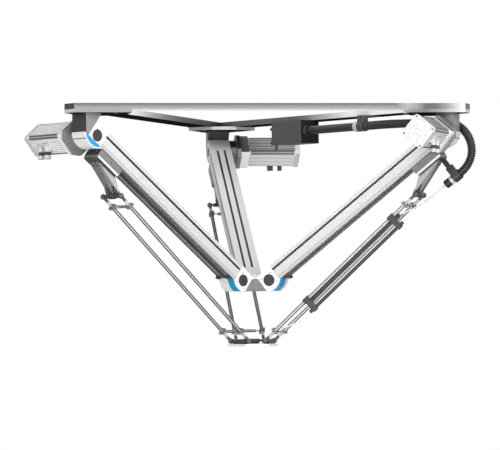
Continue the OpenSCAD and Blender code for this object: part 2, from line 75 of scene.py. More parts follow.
studio = {
    "floorHeight": -1.75,
    "floorSize": 40.0,
    "worldLight": 0.26,
    "lamps": [
        {"name": "keyLamp", "place": (3.2, -4.6, 1.2), "aim": (0, 0, -0.3), "size": 2.6, "watts": 135},
        {"name": "topLamp", "place": (0.2, -3.6, 3.0), "aim": (0, 0.1, -0.35), "size": 2.4, "watts": 100},
        {"name": "lowLamp", "place": (-0.7, -3.2, -1.70), "aim": (0, 0.4, -0.1), "size": 1.6, "watts": 112},
        {"name": "leftLamp", "place": (-3.8, -2.8, 1.6), "aim": (-0.4, 0, -0.2), "size": 2.0, "watts": 56},
        {"name": "rimLamp", "place": (0.6, 3.6, 1.8), "aim": (0, 0, -0.3), "size": 2.4, "watts": 40},
    ],
}


def seenWhite(tree, sceneLight):
    # white to the camera, in mirrors and through glass; plain light everywhere else
    path = tree.nodes.new("ShaderNodeLightPath")
    first = tree.nodes.new("ShaderNodeMath")
    first.operation = "MAXIMUM"
    second = tree.nodes.new("ShaderNodeMath")
    second.operation = "MAXIMUM"
    tree.links.new(path.outputs["Is Camera Ray"], first.inputs[0])
    tree.links.new(path.outputs["Is Glossy Ray"], first.inputs[1])
    tree.links.new(first.outputs[0], second.inputs[0])
    tree.links.new(path.outputs["Is Transmission Ray"], second.inputs[1])
    level = tree.nodes.new("ShaderNodeMapRange")
    level.inputs["To Min"].default_value = sceneLight
    level.inputs["To Max"].default_value = 1.0
    tree.links.new(second.outputs[0], level.inputs["Value"])
    return level.outputs[0]


def makeStudio(look):
    world = bpy.data.worlds.new("studio")
    scene.world = world
    world.use_nodes = True
    tree = world.node_tree
    sky = tree.nodes["Background"]
    sky.inputs["Color"].default_value = (1, 1, 1, 1)
    tree.links.new(seenWhite(tree, look["worldLight"]), sky.inputs["Strength"])

    mesh = bmesh.new()
    bmesh.ops.create_grid(mesh, x_segments=1, y_segments=1, size=look["floorSize"])
    bmesh.ops.translate(mesh, verts=mesh.verts, vec=(0, 0, look["floorHeight"]))
    data = bpy.data.meshes.new("studioFloor")
    mesh.to_mesh(data)
    mesh.free()
    floor = bpy.data.objects.new("studioFloor", data)
    scene.collection.objects.link(floor)
    paper = bpy.data.materials.new("paleFloor")
    paper.use_nodes = True
    tree = paper.node_tree
    shader = tree.nodes["Principled BSDF"]
    shader.inputs["Base Color"].default_value = (0.72, 0.72, 0.72, 1)
    shader.inputs["Roughness"].default_value = 0.9
    glow = tree.nodes.new("ShaderNodeEmission")
    path = tree.nodes.new("ShaderNodeLightPath")
    mixed = tree.nodes.new("ShaderNodeMixShader")
    tree.links.new(path.outputs["Is Camera Ray"], mixed.inputs["Fac"])
    tree.links.new(shader.outputs[0], mixed.inputs[1])
    tree.links.new(glow.outputs[0], mixed.inputs[2])
    tree.links.new(mixed.outputs[0], tree.nodes["Material Output"].inputs["Surface"])
    data.materials.append(paper)

    for lamp in look["lamps"]:
        light = bpy.data.lights.new(lamp["name"], "AREA")
        light.size = lamp["size"]
        light.energy = lamp["watts"]
        piece = bpy.data.objects.new(lamp["name"], light)
        scene.collection.objects.link(piece)
        piece.location = lamp["place"]
        heading = Vector(lamp["aim"]) - Vector(lamp["place"])
        piece.rotation_euler = heading.to_track_quat("-Z", "Y").to_euler()


makeCamera(viewpoint)
makeStudio(studio)
scene.view_settings.view_transform = "Standard"
print("camera and studio made")

# ---- places on the robot, all in metres ----

rear, left, right = 0, 1, 2
armName = ["rear", "left", "right"]
axisPlan = {
    "footRadius": 0.076, "footHeight": -0.603, "slope": 37.8, "pulleyGap": 0.8066, "halfWidth": 0.04,
    "motorTurn": 39.3,
}
barPlan = {"along": 0.610, "depth": 0.106, "lowRadius": 0.0615, "lowHeight": -0.817, "gap": 0.100}


def armTurn(arm):
    return Matrix.Rotation(math.radians(90 + 120 * arm), 4, "Z")


def beamTurn(beam):
    return Matrix.Rotation(math.radians(270 + 120 * beam), 4, "Z")


def axisPlace(arm):
    foot = Matrix.Translation((axisPlan["footRadius"], 0, axisPlan["footHeight"]))
    return armTurn(arm) @ foot @ Matrix.Rotation(math.radians(-axisPlan["slope"]), 4, "Y")


def axisPoint(along, height):
    slope = math.radians(axisPlan["slope"])
    return (
        axisPlan["footRadius"] + along * math.cos(slope) - height * math.sin(slope),
        axisPlan["footHeight"] + along * math.sin(slope) + height * math.cos(slope),
    )


upperRadius, upperHeight = axisPoint(barPlan["along"], -barPlan["depth"])
rodLength = math.hypot(upperRadius - barPlan["lowRadius"], upperHeight - barPlan["lowHeight"])
rodSlope = math.degrees(math.atan2(upperHeight - barPlan["lowHeight"], upperRadius - barPlan["lowRadius"]))


def rodPlace(arm):
    ball = Matrix.Translation((upperRadius, 0, upperHeight))
    return armTurn(arm) @ ball @ Matrix.Rotation(math.radians(180 - rodSlope), 4, "Y")


def motorPlace(arm):
    radius, height = axisPoint(axisPlan["pulleyGap"], 0)
    turned = Matrix.Rotation(math.radians(axisPlan["motorTurn"]), 4, "Y")
    return armTurn(arm) @ Matrix.Translation((radius, 0, height)) @ turned


def across(side):
    # turns +Z to point sideways: side 1 is +Y, side -1 is -Y
    return Matrix.Rotation(math.radians(-90 * side), 4, "X")


# ---- shared effects ----


def newGroup(name, inputs, outputs):
    tree = bpy.data.node_groups.new(name, "ShaderNodeTree")
    for label, kind, value in inputs:
        socket = tree.interface.new_socket(name=label, in_out="INPUT", socket_type=kind)
        if value is not None:
            socket.default_value = value
    for label, kind in outputs:
        tree.interface.new_socket(name=label, in_out="OUTPUT", socket_type=kind)
    return tree, tree.nodes.new("NodeGroupInput"), tree.nodes.new("NodeGroupOutput")


def maths(tree, operation, a, b=None):
    node = tree.nodes.new("ShaderNodeMath")
    node.operation = operation
    for slotNumber, value in ((0, a), (1, b)):
        if value is None:
            continue
        if isinstance(value, (int, float)):
            node.inputs[slotNumber].default_value = value
        else:
            tree.links.new(value, node.inputs[slotNumber])
    return node.outputs[0]


def makeGrain():
    # long scratches along X of the vector that comes in
    tree, source, result = newGroup(
        "brushedGrain",
        [
            ("Vector", "NodeSocketVector", None), ("Fineness", "NodeSocketFloat", 900.0),
            ("Stretch", "NodeSocketFloat", 0.02),
        ],
        [("Grain", "NodeSocketFloat")],
    )
    squeeze = tree.nodes.new("ShaderNodeVectorMath")
    squeeze.operation = "MULTIPLY"
    ratio = tree.nodes.new("ShaderNodeCombineXYZ")
    ratio.inputs["Y"].default_value = 1.0
    ratio.inputs["Z"].default_value = 1.0
    tree.links.new(source.outputs["Stretch"], ratio.inputs["X"])
    tree.links.new(source.outputs["Vector"], squeeze.inputs[0])
    tree.links.new(ratio.outputs[0], squeeze.inputs[1])
    noise = tree.nodes.new("ShaderNodeTexNoise")
    noise.inputs["Detail"].default_value = 2.0
    noise.inputs["Roughness"].default_value = 0.6
    tree.links.new(source.outputs["Fineness"], noise.inputs["Scale"])
    tree.links.new(squeeze.outputs[0], noise.inputs["Vector"])
    tree.links.new(noise.outputs["Fac"], result.inputs["Grain"])
    return tree


def makeSoil():
    # broad uneven patches with small flecks inside them
    tree, source, result = newGroup(
        "handledSoil",
        [
            ("Vector", "NodeSocketVector", None), ("Scale", "NodeSocketFloat", 9.0),
            ("Amount", "NodeSocketFloat", 0.5),
        ],
        [("Mask", "NodeSocketFloat")],
    )
    patches = tree.nodes.new("ShaderNodeTexNoise")
    patches.inputs["Detail"].default_value = 4.0
    tree.links.new(source.outputs["Scale"], patches.inputs["Scale"])
    tree.links.new(source.outputs["Vector"], patches.inputs["Vector"])
    flecks = tree.nodes.new("ShaderNodeTexNoise")
    flecks.inputs["Scale"].default_value = 160.0
    flecks.inputs["Detail"].default_value = 3.0
    tree.links.new(source.outputs["Vector"], flecks.inputs["Vector"])
    spread = tree.nodes.new("ShaderNodeMapRange")
    spread.inputs["From Min"].default_value = 0.42
    spread.inputs["From Max"].default_value = 0.68
    tree.links.new(patches.outputs["Fac"], spread.inputs["Value"])
    both = maths(tree, "MULTIPLY", spread.outputs[0], flecks.outputs["Fac"])
    tree.links.new(maths(tree, "MULTIPLY", both, source.outputs["Amount"]), result.inputs["Mask"])
    return tree


def makeEdges():
    # edges that are rubbed bright, and a slightly rounded normal for them
    tree, source, result = newGroup(
        "rubbedEdges",
        [
            ("Vector", "NodeSocketVector", None), ("Amount", "NodeSocketFloat", 0.6),
            ("Width", "NodeSocketFloat", 0.0012),
        ],
        [("Mask", "NodeSocketFloat"), ("Normal", "NodeSocketVector")],
    )
    rounded = tree.nodes.new("ShaderNodeBevel")
    rounded.samples = 4
    tree.links.new(source.outputs["Width"], rounded.inputs["Radius"])
    surface = tree.nodes.new("ShaderNodeNewGeometry")
    likeness = tree.nodes.new("ShaderNodeVectorMath")
    likeness.operation = "DOT_PRODUCT"
    tree.links.new(rounded.outputs[0], likeness.inputs[0])
    tree.links.new(surface.outputs["Normal"], likeness.inputs[1])
    edge = tree.nodes.new("ShaderNodeMapRange")
    edge.inputs["From Min"].default_value = 0.995
    edge.inputs["From Max"].default_value = 0.86
    tree.links.new(likeness.outputs["Value"], edge.inputs["Value"])
    chips = tree.nodes.new("ShaderNodeTexNoise")
    chips.inputs["Scale"].default_value = 70.0
    chips.inputs["Detail"].default_value = 3.0
    tree.links.new(source.outputs["Vector"], chips.inputs["Vector"])
    broken = tree.nodes.new("ShaderNodeMapRange")
    broken.inputs["From Min"].default_value = 0.38
    broken.inputs["From Max"].default_value = 0.62
    tree.links.new(chips.outputs["Fac"], broken.inputs["Value"])
    both = maths(tree, "MULTIPLY", edge.outputs[0], broken.outputs[0])
    tree.links.new(maths(tree, "MULTIPLY", both, source.outputs["Amount"]), result.inputs["Mask"])
    tree.links.new(rounded.outputs[0], result.inputs["Normal"])
    return tree


def makeSkin():
    # fine pebbled skin of paint, casting or moulded plastic
    tree, source, result = newGroup(
        "pebbledSkin",
        [("Vector", "NodeSocketVector", None), ("Fineness", "NodeSocketFloat", 600.0)],
        [("Height", "NodeSocketFloat")],
    )
    pebbles = tree.nodes.new("ShaderNodeTexNoise")
    pebbles.inputs["Detail"].default_value = 2.0
    tree.links.new(source.outputs["Fineness"], pebbles.inputs["Scale"])
    tree.links.new(source.outputs["Vector"], pebbles.inputs["Vector"])
    tree.links.new(pebbles.outputs["Fac"], result.inputs["Height"])
    return tree


effects = {"grain": makeGrain(), "soil": makeSoil(), "edges": makeEdges(), "skin": makeSkin()}


def place(tree, effect, vector, **values):
    node = tree.nodes.new("ShaderNodeGroup")
    node.node_tree = effects[effect]
    tree.links.new(vector, node.inputs["Vector"])
    for label, value in values.items():
        node.inputs[label].default_value = value
    return node


def mixColour(tree, mask, a, b):
    node = tree.nodes.new("ShaderNodeMix")
    node.data_type = "RGBA"
    for slotName, value in (("A", a), ("B", b)):
        socket = [s for s in node.inputs if s.name == slotName and s.type == "RGBA"][0]
        if isinstance(value, tuple):
            socket.default_value = (*value, 1)
        else:
            tree.links.new(value, socket)
    tree.links.new(mask, node.inputs["Factor"])
    return [s for s in node.outputs if s.type == "RGBA"][0]


def spreadTo(tree, value, low, high):
    node = tree.nodes.new("ShaderNodeMapRange")
    node.inputs["To Min"].default_value = low
    node.inputs["To Max"].default_value = high
    tree.links.new(value, node.inputs["Value"])
    return node.outputs[0]


def facingMask(tree, way, least=0.9):
    facing = tree.nodes.new("ShaderNodeNewGeometry")
    likeness = tree.nodes.new("ShaderNodeVectorMath")
    likeness.operation = "DOT_PRODUCT"
    likeness.inputs[1].default_value = way
    tree.links.new(facing.outputs["True Normal"], likeness.inputs[0])
    return maths(tree, "GREATER_THAN", likeness.outputs["Value"], least)


def patchMask(tree, split, patch):
    # 1 inside a box of the piece's own coordinates, on faces that look one way
    mask = None
    for axis, (low, high) in patch.get("within", {}).items():
        for test, edge in (("GREATER_THAN", low), ("LESS_THAN", high)):
            found = maths(tree, test, split.outputs[axis], edge)
            mask = found if mask is None else maths(tree, "MULTIPLY", mask, found)
    if "facing" in patch:
        found = facingMask(tree, patch["facing"], patch.get("least", 0.9))
        mask = found if mask is None else maths(tree, "MULTIPLY", mask, found)
    return mask


def patchTone(tree, split, patch):
    # one tone, or tones that run from place to place along an axis
    if "tone" in patch:
        plain = tree.nodes.new("ShaderNodeRGB")
        tone = patch["tone"]
        plain.outputs[0].default_value = (*tone, 1) if isinstance(tone, tuple) else (tone, tone, tone, 1)
        return plain.outputs[0]
    axis, stops = patch["run"]
    span = tree.nodes.new("ShaderNodeMapRange")
    span.inputs["From Min"].default_value = stops[0][0]
    span.inputs["From Max"].default_value = stops[-1][0]
    tree.links.new(split.outputs[axis], span.inputs["Value"])
    ramp = tree.nodes.new("ShaderNodeValToRGB")
    while len(ramp.color_ramp.elements) < len(stops):
        ramp.color_ramp.elements.new(0.5)
    for element, (where, tone) in zip(ramp.color_ramp.elements, stops):
        element.position = (where - stops[0][0]) / (stops[-1][0] - stops[0][0])
    for element, (where, tone) in zip(ramp.color_ramp.elements, stops):
        element.color = (tone, tone, tone, 1)
    tree.links.new(span.outputs[0], ramp.inputs[0])
    return ramp.outputs[0]


def finish(name, look):
    # one maker's finish: base tone, soiled tone, rubbed edge tone, roughness span and surface texture, plus,
    # where the look asks for them, painted shade on faces of one direction and towards the outline, and tone
    # patches and runs, most of which are painted light and shade
    material = bpy.data.materials.new(name)
    material.use_nodes = True
    tree = material.node_tree
    shader = tree.nodes["Principled BSDF"]
    coordinates = tree.nodes.new("ShaderNodeTexCoord")
    turned = tree.nodes.new("ShaderNodeMapping")
    ownPlace = look.get("place", Matrix())
    turned.inputs["Location"].default_value = ownPlace.to_translation()
    turned.inputs["Rotation"].default_value = ownPlace.to_euler("XYZ")
    tree.links.new(coordinates.outputs["Object"], turned.inputs["Vector"])
    vector = turned.outputs[0]
    split = tree.nodes.new("ShaderNodeSeparateXYZ")
    tree.links.new(vector, split.inputs[0])

    soil = place(tree, "soil", vector, Scale=look.get("soilScale", 9.0), Amount=look.get("soil", 0.6))
    edges = place(tree, "edges", vector, Amount=look.get("wear", 0.6), Width=look.get("edgeWidth", 0.0012))
    tone = mixColour(tree, soil.outputs["Mask"], look["tone"], look["soilTone"])
    if "grain" in look:
        texture = place(tree, "grain", vector, Fineness=look["grain"], Stretch=look.get("stretch", 0.02))
        height = texture.outputs["Grain"]
    else:
        texture = place(tree, "skin", vector, Fineness=look.get("skin", 600.0))
        height = texture.outputs["Height"]
    streaks = maths(tree, "MULTIPLY", spreadTo(tree, height, -0.6, 1.6), look.get("streak", 0.25))
    streaked = mixColour(tree, streaks, tone, look.get("streakTone", look["soilTone"]))
    if "shadedFaceTone" in look:
        # painted shade: faces that look one way get a darker tone and a duller shine, for the light they miss
        side = facingMask(tree, look["shadedFaceWay"])
        streaked = mixColour(tree, side, streaked, look["shadedFaceTone"])
        shine = maths(tree, "SUBTRACT", 0.5, maths(tree, "MULTIPLY", side, look.get("shadedFaceDull", 0.0)))
        tree.links.new(shine, shader.inputs["Specular IOR Level"])
    for patch in look.get("patches", []):
        streaked = mixColour(tree, patchMask(tree, split, patch), streaked, patchTone(tree, split, patch))
    # painted shade: the tone darkens towards the outline, where the surface turns away from the camera
    if "rimShadeTone" in look:
        rim = tree.nodes.new("ShaderNodeLayerWeight")
        rim.inputs["Blend"].default_value = 0.5
        darker = tree.nodes.new("ShaderNodeMapRange")
        darker.inputs["From Min"].default_value = look.get("rimFrom", 0.25)
        darker.inputs["From Max"].default_value = look.get("rimTo", 0.7)
        tree.links.new(rim.outputs["Facing"], darker.inputs["Value"])
        streaked = mixColour(tree, darker.outputs[0], streaked, look["rimShadeTone"])
    if "pits" in look:
        cells = tree.nodes.new("ShaderNodeTexVoronoi")
        cells.inputs["Scale"].default_value = look["pits"]
        tree.links.new(vector, cells.inputs["Vector"])
        pit = maths(tree, "MULTIPLY", maths(tree, "LESS_THAN", cells.outputs["Distance"], 0.24), 0.6)
        streaked = mixColour(tree, pit, streaked, (0.12, 0.12, 0.12))
    worn = mixColour(tree, edges.outputs["Mask"], streaked, look["edgeTone"])
    tree.links.new(worn, shader.inputs["Base Color"])

    low, high = look["roughness"]
    rough = spreadTo(tree, height, low, high)
    soiled = maths(tree, "MULTIPLY", soil.outputs["Mask"], 0.25)
    tree.links.new(maths(tree, "ADD", rough, soiled), shader.inputs["Roughness"])
    shader.inputs["Metallic"].default_value = look.get("metallic", 0.0)
    shader.inputs["Coat Weight"].default_value = look.get("coat", 0.0)
    shader.inputs["Coat Roughness"].default_value = look.get("coatRoughness", 0.15)
    bump = tree.nodes.new("ShaderNodeBump")
    bump.inputs["Strength"].default_value = look.get("bump", 0.15)
    bump.inputs["Distance"].default_value = look.get("bumpDepth", 0.0002)
    tree.links.new(height, bump.inputs["Height"])
    tree.links.new(edges.outputs["Normal"], bump.inputs["Normal"])
    tree.links.new(bump.outputs[0], shader.inputs["Normal"])
    return material


# ---- finishes of the fixed structure ----

aluminium = {
    "tone": (0.84, 0.84, 0.84), "soilTone": (0.66, 0.66, 0.665), "edgeTone": (0.93, 0.93, 0.93),
    "roughness": (0.28, 0.40), "metallic": 0.12, "streak": 0.10, "bump": 0.04, "soil": 0.2, "wear": 0.4,
}
coverBlue = (0.003, 0.27, 0.54)
# the ways that the beams' inner faces and the arms' +Y sides look
innerWays = [beamTurn(beam) @ Vector((-1, 0, 0)) for beam in (0, 1, 2)]
armSides = [armTurn(arm) @ Vector((0, 1, 0)) for arm in (rear, left, right)]
finishes = {
    "frame_beams": {
        "tone": (0.36, 0.36, 0.36), "soilTone": (0.22, 0.22, 0.22), "edgeTone": (0.62, 0.62, 0.62),
        "roughness": (0.30, 0.46), "grain": 700.0, "stretch": 0.03, "streak": 0.25, "bump": 0.08,
        "soilScale": 3.0, "soil": 0.5,
        # painted shade and light: the faces that look down are nearly black, and the patches paint the light,
        # shade and reflections that fall across the front, under, corner and inner faces
        "shadedFaceWay": (0, 0, -1), "shadedFaceTone": (0.012, 0.012, 0.012), "shadedFaceDull": 0.5,
        "patches": [
            {"within": {"X": (-0.8, 0.44)}, "facing": (0, -1, 0),
             "run": ("Z", [(-0.020, 0.25), (-0.012, 0.21), (-0.006, 0.13), (0.0, 0.07)])},
            {"within": {"X": (0.44, 0.575)}, "facing": (0, -1, 0),
             "run": ("X", [(0.44, 0.19), (0.475, 0.34), (0.505, 0.30), (0.54, 0.11), (0.575, 0.11)])},
            {"within": {"X": (0.575, 0.72)}, "facing": (0, -1, 0),
             "run": ("X", [(0.575, 0.11), (0.62, 0.28), (0.67, 0.62)])},
            {"within": {"Y": (-0.45, -0.25)}, "facing": (0, 0, -1), "tone": 0.9},
            {"facing": (-0.866, -0.5, 0), "within": {"Y": (-0.5, 0.0), "X": (-0.8, -0.55)}, "tone": 0.020},
            {"facing": (0.866, -0.5, 0), "within": {"Y": (-0.5, 0.0), "X": (0.55, 0.8)}, "tone": 0.06},
            {"within": {"X": (-0.6, 0.1)}, "facing": innerWays[2],
             "run": ("X", [(-0.46, 0.97), (-0.36, 0.42), (-0.28, 0.16), (-0.20, 0.05), (-0.10, 0.012)])},
            {"within": {"X": (-0.1, 0.6)}, "facing": innerWays[1],
             "run": ("X", [(0.0, 0.08), (0.12, 0.10), (0.22, 0.15), (0.30, 0.45), (0.36, 0.85)])},
        ],
    },
    "corner_plates": {
        "tone": (0.52, 0.52, 0.52), "soilTone": (0.34, 0.34, 0.34), "edgeTone": (0.78, 0.78, 0.78),
        "roughness": (0.3, 0.45), "grain": 650.0, "stretch": 0.03, "streak": 0.25, "bump": 0.08,
        # painted light and shade: faces that look down are nearly black, the front faces carry a run of
        # lighter and darker tone, and the rear plate's two slanting faces are darkened
        "shadedFaceWay": (0, 0, -1), "shadedFaceTone": (0.012, 0.012, 0.012), "shadedFaceDull": 0.5,
        "patches": [
            {"within": {"Y": (-0.6, 0.0), "X": (-0.8, 0.44)}, "facing": (0, -1, 0), "tone": 0.24},
            {"within": {"Y": (-0.6, 0.0), "X": (0.44, 0.72)}, "facing": (0, -1, 0),
             "run": ("X", [(0.44, 0.40), (0.50, 0.20), (0.54, 0.17), (0.60, 0.36), (0.68, 0.60)])},
            {"within": {"Y": (0.3, 0.8), "X": (-0.4, 0.0)}, "facing": (0.866, -0.5, 0), "least": 0.7,
             "tone": 0.008},
            {"within": {"Y": (0.3, 0.8), "X": (0.0, 0.4)}, "facing": (-0.866, -0.5, 0), "least": 0.7,
             "tone": 0.025},
        ],
    },
    "corner_brackets": {
        "tone": (0.235, 0.235, 0.24), "soilTone": (0.16, 0.16, 0.16), "edgeTone": (0.5, 0.5, 0.5),
        "roughness": (0.34, 0.5), "metallic": 0.1, "skin": 500.0, "bump": 0.12,
        "streak": 0.2, "soilScale": 14.0,
        # painted shade: the faces that look to the front left are nearly black, and the rear bracket darkens
        # towards its top
        "shadedFaceWay": (-0.866, -0.5, 0), "shadedFaceTone": (0.018, 0.018, 0.0185),
        "patches": [
            {"within": {"Y": (0.3, 0.9)},
             "run": ("Z", [(-0.120, 0.30), (-0.085, 0.10), (-0.060, 0.035), (-0.030, 0.03)])},
        ],
    },
    "centre_hub": {
        "tone": (0.155, 0.155, 0.158), "soilTone": (0.11, 0.11, 0.11), "edgeTone": (0.4, 0.4, 0.4),
        "roughness": (0.4, 0.55), "metallic": 0.1, "skin": 300.0, "bump": 0.2, "streak": 0.25,
        "patches": [{"within": {"Z": (-0.598, -0.570)}, "tone": 0.80}],
    },
    "head_covers": {
        "tone": coverBlue, "soilTone": (0.02, 0.18, 0.36), "edgeTone": (0.20, 0.52, 0.72),
        "roughness": (0.22, 0.34), "skin": 260.0, "bump": 0.04, "streak": 0.2, "coat": 0.2,
        "soil": 0.5, "wear": 0.5, "coatRoughness": 0.1,
        "patches": [
            {"within": {"Z": (-0.8, -0.5)}, "facing": side * turn, "tone": 0.80}
            for side in armSides for turn in (1, -1)
        ],
    },
    "bearing_caps": {
        "tone": (0.016, 0.016, 0.017), "soilTone": (0.04, 0.04, 0.04), "edgeTone": (0.1, 0.1, 0.1),
        "roughness": (0.5, 0.65), "skin": 400.0, "bump": 0.3, "wear": 0.3,
    },
    "end_buffers": {
        "tone": (0.022, 0.022, 0.022), "soilTone": (0.09, 0.09, 0.085), "edgeTone": (0.09, 0.09, 0.09),
        "roughness": (0.6, 0.8), "skin": 500.0, "bump": 0.35, "wear": 0.3,
    },
    "drive_belts": {
        "tone": (0.02, 0.02, 0.02), "soilTone": (0.08, 0.08, 0.08), "edgeTone": (0.08, 0.08, 0.08),
        "roughness": (0.55, 0.75), "skin": 800.0, "bump": 0.3, "wear": 0.2,
    },
    "guide_rails": {
        "tone": (0.30, 0.30, 0.31), "soilTone": (0.14, 0.14, 0.14), "edgeTone": (0.7, 0.7, 0.7),
        "roughness": (0.26, 0.4), "metallic": 0.2, "skin": 300.0, "bump": 0.04, "wear": 0.2,
        "patches": [{"within": {"X": (0.06, 1.0)}, "tone": 0.24}],
    },
    "coupling_housings": {
        "tone": (0.24, 0.24, 0.244), "soilTone": (0.16, 0.16, 0.16), "edgeTone": (0.5, 0.5, 0.5),
        "roughness": (0.34, 0.5), "metallic": 0.15, "skin": 220.0, "bump": 0.2,
        "streak": 0.3, "soilScale": 40.0,
        # painted shade: faces that look up are darkened
        "patches": [{"facing": (0, 0, 1), "least": 0.55, "tone": 0.035}],
    },
    "motor_covers": {
        "tone": (0.66, 0.66, 0.665), "soilTone": (0.38, 0.39, 0.40), "edgeTone": (0.85, 0.85, 0.85),
        "roughness": (0.36, 0.5), "metallic": 0.1, "skin": 230.0, "bump": 0.25,
        "bumpDepth": 0.0004, "streak": 0.35, "pits": 110.0,
    },
    "motor_connectors": {
        "tone": (0.018, 0.018, 0.020), "soilTone": (0.06, 0.06, 0.06), "edgeTone": (0.2, 0.2, 0.2),
        "roughness": (0.3, 0.45), "skin": 600.0, "bump": 0.2,
        "patches": [{"within": {"Z": (-0.1500, 0.0)}, "tone": 0.62}],
    },
    "hose_box": {
        "tone": (0.048, 0.048, 0.049), "soilTone": (0.075, 0.075, 0.075), "edgeTone": (0.30, 0.30, 0.30),
        "roughness": (0.42, 0.58), "skin": 300.0, "bump": 0.15, "streak": 0.3,
        # painted shade: the box's one end face is nearly black
        "shadedFaceWay": beamTurn(1) @ Vector((0, -1, 0)), "shadedFaceTone": (0.012, 0.012, 0.012), "shadedFaceDull": 0.4,
    },
    "hose_hanger": {
        "tone": (0.035, 0.035, 0.037), "soilTone": (0.10, 0.10, 0.10), "edgeTone": (0.28, 0.28, 0.28),
        "roughness": (0.42, 0.58), "skin": 520.0, "bump": 0.3,
    },
    "hose_clamp": {
        "tone": (0.010, 0.010, 0.011), "soilTone": (0.04, 0.04, 0.04), "edgeTone": (0.15, 0.15, 0.15),
        "roughness": (0.38, 0.55), "skin": 520.0, "bump": 0.3,
    },
    "air_sleeves": {
        "tone": (0.024, 0.024, 0.025), "soilTone": (0.07, 0.07, 0.07), "edgeTone": (0.1, 0.1, 0.1),
        "roughness": (0.45, 0.65), "skin": 750.0, "bump": 0.25, "bumpDepth": 0.0004, "streak": 0.4,
    },
    "sleeve_clamps": {
        "tone": (0.026, 0.026, 0.028), "soilTone": (0.09, 0.09, 0.09), "edgeTone": (0.24, 0.24, 0.24),
        "roughness": (0.36, 0.5), "skin": 600.0, "bump": 0.2,
    },
    "air_tube_upper": {
        "tone": (0.72, 0.74, 0.74), "soilTone": (0.60, 0.62, 0.62), "edgeTone": (0.8, 0.8, 0.8),
        "roughness": (0.2, 0.35), "skin": 400.0, "bump": 0.05, "coat": 0.4,
    },
    "tool_plate": {
        "tone": (0.86, 0.86, 0.865), "soilTone": (0.66, 0.66, 0.66), "edgeTone": (0.9, 0.9, 0.9),
        "roughness": (0.34, 0.48), "metallic": 0.1, "skin": 300.0, "bump": 0.1, "wear": 0.4,
    },
}
# the blue across each lower head's belly, from side to side
tailBlue = {
    "tail_head_left": (0.010, 0.041), "tail_head_right": (-0.041, 0.010), "tail_head_rear": (-0.041, 0.041),
}
sharedFinish = {"air_tube_lower": "air_tube_upper"}
pulleySteel = {
    "tone": (0.45, 0.45, 0.46), "soilTone": (0.26, 0.26, 0.26), "edgeTone": (0.8, 0.8, 0.8),
    "roughness": (0.22, 0.38), "metallic": 0.6, "skin": 800.0, "bump": 0.08,
}
barBlack = {
    "tone": (0.022, 0.022, 0.023), "soilTone": (0.07, 0.07, 0.07), "edgeTone": (0.3, 0.3, 0.3),
    "roughness": (0.3, 0.44), "metallic": 0.1, "skin": 700.0, "bump": 0.1,
}
headAluminium = {**aluminium, "skin": 700.0, "roughness": (0.3, 0.42), "streak": 0.1}
profileSides = ((0.0395, 0.0405), (-0.0405, -0.0395))
armFinishes = {
    "axis_profile": {
        **aluminium, "grain": 240.0, "stretch": 0.008, "bump": 0.02, "streak": 0.06, "soil": 0.0, "wear": 0.0,
        "edgeWidth": 0.00005,
        # painted shade: the slot's line and the faces inside the walls are darkened; the sides are a darker
        # aluminium tone than the other faces, with darker bands beside the slot
        "patches": [
            {"within": {"Z": (-0.0230, -0.0214)}, "tone": 0.24},
            *({"within": {"Y": side}, "tone": 0.56} for side in profileSides),
            {"within": {"Y": (-0.0392, 0.0392), "Z": (-0.0212, 0.0362)}, "tone": 0.07},
            *({"within": {"Y": side, "Z": (-0.0225, -0.0115)}, "tone": 0.46} for side in profileSides),
            *({"within": {"Y": side, "Z": (-0.0115, -0.0100)}, "tone": 0.30} for side in profileSides),
        ],
    },
    "drive_head": headAluminium,
    "tail_head": headAluminium,
    "servo_motor": {
        "tone": (0.86, 0.86, 0.865), "soilTone": (0.60, 0.60, 0.61), "edgeTone": (0.93, 0.93, 0.93),
        "roughness": (0.3, 0.46), "metallic": 0.05, "skin": 300.0, "bump": 0.12, "streak": 0.15, "soil": 0.4,
    },
    "drive_pulley": pulleySteel,
    "tail_pulley": pulleySteel,
    "carriage": {
        "tone": (0.18, 0.18, 0.184), "soilTone": (0.12, 0.12, 0.12), "edgeTone": (0.4, 0.4, 0.4),
        "roughness": (0.34, 0.5), "metallic": 0.1, "grain": 300.0, "stretch": 0.02,
        "bump": 0.06, "streak": 0.35,
        "patches": [{"within": {"X": (0.7642, 0.7700)}, "tone": 0.02}],
    },
    "carriage_bracket": {
        "tone": (0.17, 0.17, 0.173), "soilTone": (0.12, 0.12, 0.12), "edgeTone": (0.4, 0.4, 0.4),
        "roughness": (0.36, 0.52), "metallic": 0.1, "skin": 420.0, "bump": 0.2, "streak": 0.3,
    },
    "upper_ball_bar": barBlack,
    "lower_ball_bar": barBlack,
    # painted shade: the rods and rod ends darken towards their outlines
    "rods": {
        "tone": (0.46, 0.46, 0.46), "soilTone": (0.34, 0.34, 0.34), "edgeTone": (0.5, 0.5, 0.5),
        "roughness": (0.24, 0.32), "metallic": 0.1, "skin": 300.0, "bump": 0.02, "streak": 0.12, "soil": 0.2,
        "wear": 0.0, "edgeWidth": 0.0002, "rimShadeTone": (0.02, 0.02, 0.021), "rimFrom": 0.08, "rimTo": 0.30,
    },
    "rod_ends": {
        "tone": (0.06, 0.06, 0.062), "soilTone": (0.12, 0.12, 0.12), "edgeTone": (0.5, 0.5, 0.5),
        "roughness": (0.26, 0.4), "skin": 700.0, "bump": 0.12, "rimShadeTone": (0.015, 0.015, 0.016),
    },
    "spring_links": {
        "tone": (0.20, 0.20, 0.205), "soilTone": (0.12, 0.12, 0.12), "edgeTone": (0.5, 0.5, 0.5),
        "roughness": (0.3, 0.46), "metallic": 0.2, "skin": 700.0, "bump": 0.15,
    },
}

